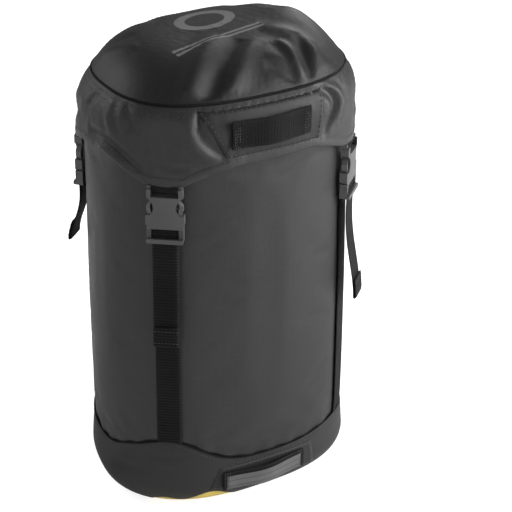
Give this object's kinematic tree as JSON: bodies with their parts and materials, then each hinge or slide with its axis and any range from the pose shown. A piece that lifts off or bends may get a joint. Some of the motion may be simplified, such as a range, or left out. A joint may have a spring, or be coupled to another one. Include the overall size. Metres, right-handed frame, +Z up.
{
  "type": "compression sack",
  "caption": "Tall oval dry bag with a base cup, a rolled neck and a cap-like lid drawn down by side straps with side-release buckles; grab handles on lid and base.",
  "frame": {"origin": "centre of the base panel's underside, where the sack stands", "axes": "+Z up along the sack, -Y to the front where both grab handles are, +X to the right seen from the front"},
  "size_m": [0.197, 0.1598, 0.3463],
  "materials": {
    "coated_fabric": "satin coated nylon with a fine rip-stop grid",
    "lid_fabric": "satin coated nylon, darker",
    "base_fabric": "heavier coated nylon, semi-matte",
    "base_panel_fabric": "yellow coated nylon, matte",
    "piping": "black bound cord",
    "webbing": "black ribbed flat webbing",
    "label": "grey woven label",
    "seam_tape": "clear grey heat-bonded tape",
    "buckle_plastic": "satin moulded acetal",
    "stiffener": "thin flexible strip"
  },
  "bodies": {
    "bag": {"body_tube_lower": "coated_fabric", "base_cup": "base_fabric", "base_panel": "base_panel_fabric", "base_piping": "piping", "base_seam_tape": "seam_tape", "back_seam_tape": "seam_tape", "base_handle_patch": "coated_fabric", "strap_front_left": "webbing", "strap_front_right": "webbing", "strap_back_left": "webbing", "strap_back_right": "webbing"},
    "base_handle": {"base_handle": "webbing", "base_handle_label": "label"},
    "closure": {"body_tube_upper": "coated_fabric", "roll_top": "lid_fabric", "roll_stiffener_inner": "stiffener", "roll_stiffener_outer": "stiffener", "closure_female": "buckle_plastic", "closure_male": "buckle_plastic", "closure_tab_left": "webbing", "closure_tab_right": "webbing"},
    "closure_arm_upper": {"closure_arm_upper": "buckle_plastic"},
    "closure_arm_lower": {"closure_arm_lower": "buckle_plastic"},
    "lid": {"lid_crown": "lid_fabric", "lid_skirt": "coated_fabric", "lid_piping": "piping", "lid_handle_patch": "coated_fabric", "lid_loop_front_left": "webbing", "lid_loop_front_right": "webbing", "lid_loop_back_left": "webbing", "lid_loop_back_right": "webbing", "buckle_female_front_left": "buckle_plastic", "buckle_female_front_right": "buckle_plastic", "buckle_female_back_left": "buckle_plastic", "buckle_female_back_right": "buckle_plastic"},
    "lid_handle": {"lid_handle": "webbing"},
    "buckle_male_front_left": {"buckle_male_front_left": "buckle_plastic", "strap_wrap_front_left": "webbing"},
    "strap_tail_front_left": {"strap_tail_front_left": "webbing"},
    "arm_right_front_left": {"arm_right_front_left": "buckle_plastic"},
    "arm_left_front_left": {"arm_left_front_left": "buckle_plastic"},
    "buckle_male_front_right": {"buckle_male_front_right": "buckle_plastic", "strap_wrap_front_right": "webbing"},
    "strap_tail_front_right": {"strap_tail_front_right": "webbing"},
    "arm_right_front_right": {"arm_right_front_right": "buckle_plastic"},
    "arm_left_front_right": {"arm_left_front_right": "buckle_plastic"},
    "buckle_male_back_left": {"buckle_male_back_left": "buckle_plastic", "strap_wrap_back_left": "webbing"},
    "strap_tail_back_left": {"strap_tail_back_left": "webbing"},
    "arm_right_back_left": {"arm_right_back_left": "buckle_plastic"},
    "arm_left_back_left": {"arm_left_back_left": "buckle_plastic"},
    "buckle_male_back_right": {"buckle_male_back_right": "buckle_plastic", "strap_wrap_back_right": "webbing"},
    "strap_tail_back_right": {"strap_tail_back_right": "webbing"},
    "arm_right_back_right": {"arm_right_back_right": "buckle_plastic"},
    "arm_left_back_right": {"arm_left_back_right": "buckle_plastic"}
  },
  "joints": [
    {"name": "compression", "type": "slide", "parent": "bag", "child": "closure", "axis": [0, 0, 1], "range_m": [-0.06, 0.06]},
    {"name": "lid_lift", "type": "slide", "parent": "closure", "child": "lid", "axis": [0, 0, 1], "range_m": [0, 0.15], "deforming": ["arm_right_front_left", "arm_left_front_left", "arm_right_front_right", "arm_left_front_right", "arm_right_back_left", "arm_left_back_left", "arm_right_back_right", "arm_left_back_right"]},
    {"name": "lid_handle_pull", "type": "slide", "parent": "lid", "child": "lid_handle", "axis": [0, -1, 0], "range_m": [0, 0.012]},
    {"name": "base_handle_pull", "type": "slide", "parent": "bag", "child": "base_handle", "axis": [0, -1, 0], "range_m": [-0.002, 0.01]},
    {"name": "closure_squeeze_upper", "type": "hinge", "parent": "closure", "child": "closure_arm_upper", "pos_m": [0.00825, -0.0424, 0.32095], "axis": [0, -1, 0], "range_deg": [0, 14], "stiffness_Nm_per_rad": 0.004},
    {"name": "closure_squeeze_lower", "type": "hinge", "parent": "closure", "child": "closure_arm_lower", "pos_m": [0.00825, -0.0424, 0.30465], "axis": [0, -1, 0], "range_deg": [-14, 0], "stiffness_Nm_per_rad": 0.004},
    {"name": "adjust_front_left", "type": "slide", "parent": "bag", "child": "buckle_male_front_left", "axis": [0, 0, 1], "range_m": [-0.06, 0.06]},
    {"name": "tail_swing_front_left", "type": "hinge", "parent": "buckle_male_front_left", "child": "strap_tail_front_left", "pos_m": [-0.07261, -0.06112, 0.2245], "axis": [-0.8062, 0.5916, 0], "range_deg": [0, 80]},
    {"name": "squeeze_right_front_left", "type": "hinge", "parent": "buckle_male_front_left", "child": "arm_right_front_left", "pos_m": [-0.06506, -0.06461, 0.2405], "axis": [-0.5916, -0.8062, 0], "range_deg": [0, 14], "stiffness_Nm_per_rad": 0.004},
    {"name": "squeeze_left_front_left", "type": "hinge", "parent": "buckle_male_front_left", "child": "arm_left_front_left", "pos_m": [-0.0782, -0.05497, 0.2405], "axis": [-0.5916, -0.8062, 0], "range_deg": [-14, 0], "stiffness_Nm_per_rad": 0.004},
    {"name": "adjust_front_right", "type": "slide", "parent": "bag", "child": "buckle_male_front_right", "axis": [0, 0, 1], "range_m": [-0.06, 0.06]},
    {"name": "tail_swing_front_right", "type": "hinge", "parent": "buckle_male_front_right", "child": "strap_tail_front_right", "pos_m": [0.07773, -0.05694, 0.2245], "axis": [-0.7396, -0.673, 0], "range_deg": [0, 80]},
    {"name": "squeeze_right_front_right", "type": "hinge", "parent": "buckle_male_front_right", "child": "arm_right_front_right", "pos_m": [0.08265, -0.05023, 0.2405], "axis": [0.673, -0.7396, 0], "range_deg": [0, 14], "stiffness_Nm_per_rad": 0.004},
    {"name": "squeeze_left_front_right", "type": "hinge", "parent": "buckle_male_front_right", "child": "arm_left_front_right", "pos_m": [0.07059, -0.0612, 0.2405], "axis": [0.673, -0.7396, 0], "range_deg": [-14, 0], "stiffness_Nm_per_rad": 0.004},
    {"name": "adjust_back_left", "type": "slide", "parent": "bag", "child": "buckle_male_back_left", "axis": [0, 0, 1], "range_m": [-0.06, 0.06]},
    {"name": "tail_swing_back_left", "type": "hinge", "parent": "buckle_male_back_left", "child": "strap_tail_back_left", "pos_m": [-0.07773, 0.05694, 0.2245], "axis": [0.7396, 0.673, 0], "range_deg": [0, 80]},
    {"name": "squeeze_right_back_left", "type": "hinge", "parent": "buckle_male_back_left", "child": "arm_right_back_left", "pos_m": [-0.08265, 0.05023, 0.2405], "axis": [-0.673, 0.7396, 0], "range_deg": [0, 14], "stiffness_Nm_per_rad": 0.004},
    {"name": "squeeze_left_back_left", "type": "hinge", "parent": "buckle_male_back_left", "child": "arm_left_back_left", "pos_m": [-0.07059, 0.0612, 0.2405], "axis": [-0.673, 0.7396, 0], "range_deg": [-14, 0], "stiffness_Nm_per_rad": 0.004},
    {"name": "adjust_back_right", "type": "slide", "parent": "bag", "child": "buckle_male_back_right", "axis": [0, 0, 1], "range_m": [-0.06, 0.06]},
    {"name": "tail_swing_back_right", "type": "hinge", "parent": "buckle_male_back_right", "child": "strap_tail_back_right", "pos_m": [0.07261, 0.06112, 0.2245], "axis": [0.8062, -0.5916, 0], "range_deg": [0, 80]},
    {"name": "squeeze_right_back_right", "type": "hinge", "parent": "buckle_male_back_right", "child": "arm_right_back_right", "pos_m": [0.06506, 0.06461, 0.2405], "axis": [0.5916, 0.8062, 0], "range_deg": [0, 14], "stiffness_Nm_per_rad": 0.004},
    {"name": "squeeze_left_back_right", "type": "hinge", "parent": "buckle_male_back_right", "child": "arm_left_back_right", "pos_m": [0.0782, 0.05497, 0.2405], "axis": [0.5916, 0.8062, 0], "range_deg": [-14, 0], "stiffness_Nm_per_rad": 0.004}
  ],
  "couplings": [
    {"joint": "closure_squeeze_lower", "follows": "closure_squeeze_upper", "ratio": -1},
    {"joint": "adjust_front_left", "follows": "compression", "ratio": 1},
    {"joint": "squeeze_left_front_left", "follows": "squeeze_right_front_left", "ratio": -1},
    {"joint": "adjust_front_right", "follows": "compression", "ratio": 1},
    {"joint": "squeeze_left_front_right", "follows": "squeeze_right_front_right", "ratio": -1},
    {"joint": "adjust_back_left", "follows": "compression", "ratio": 1},
    {"joint": "squeeze_left_back_left", "follows": "squeeze_right_back_left", "ratio": -1},
    {"joint": "adjust_back_right", "follows": "compression", "ratio": 1},
    {"joint": "squeeze_left_back_right", "follows": "squeeze_right_back_right", "ratio": -1}
  ]
}
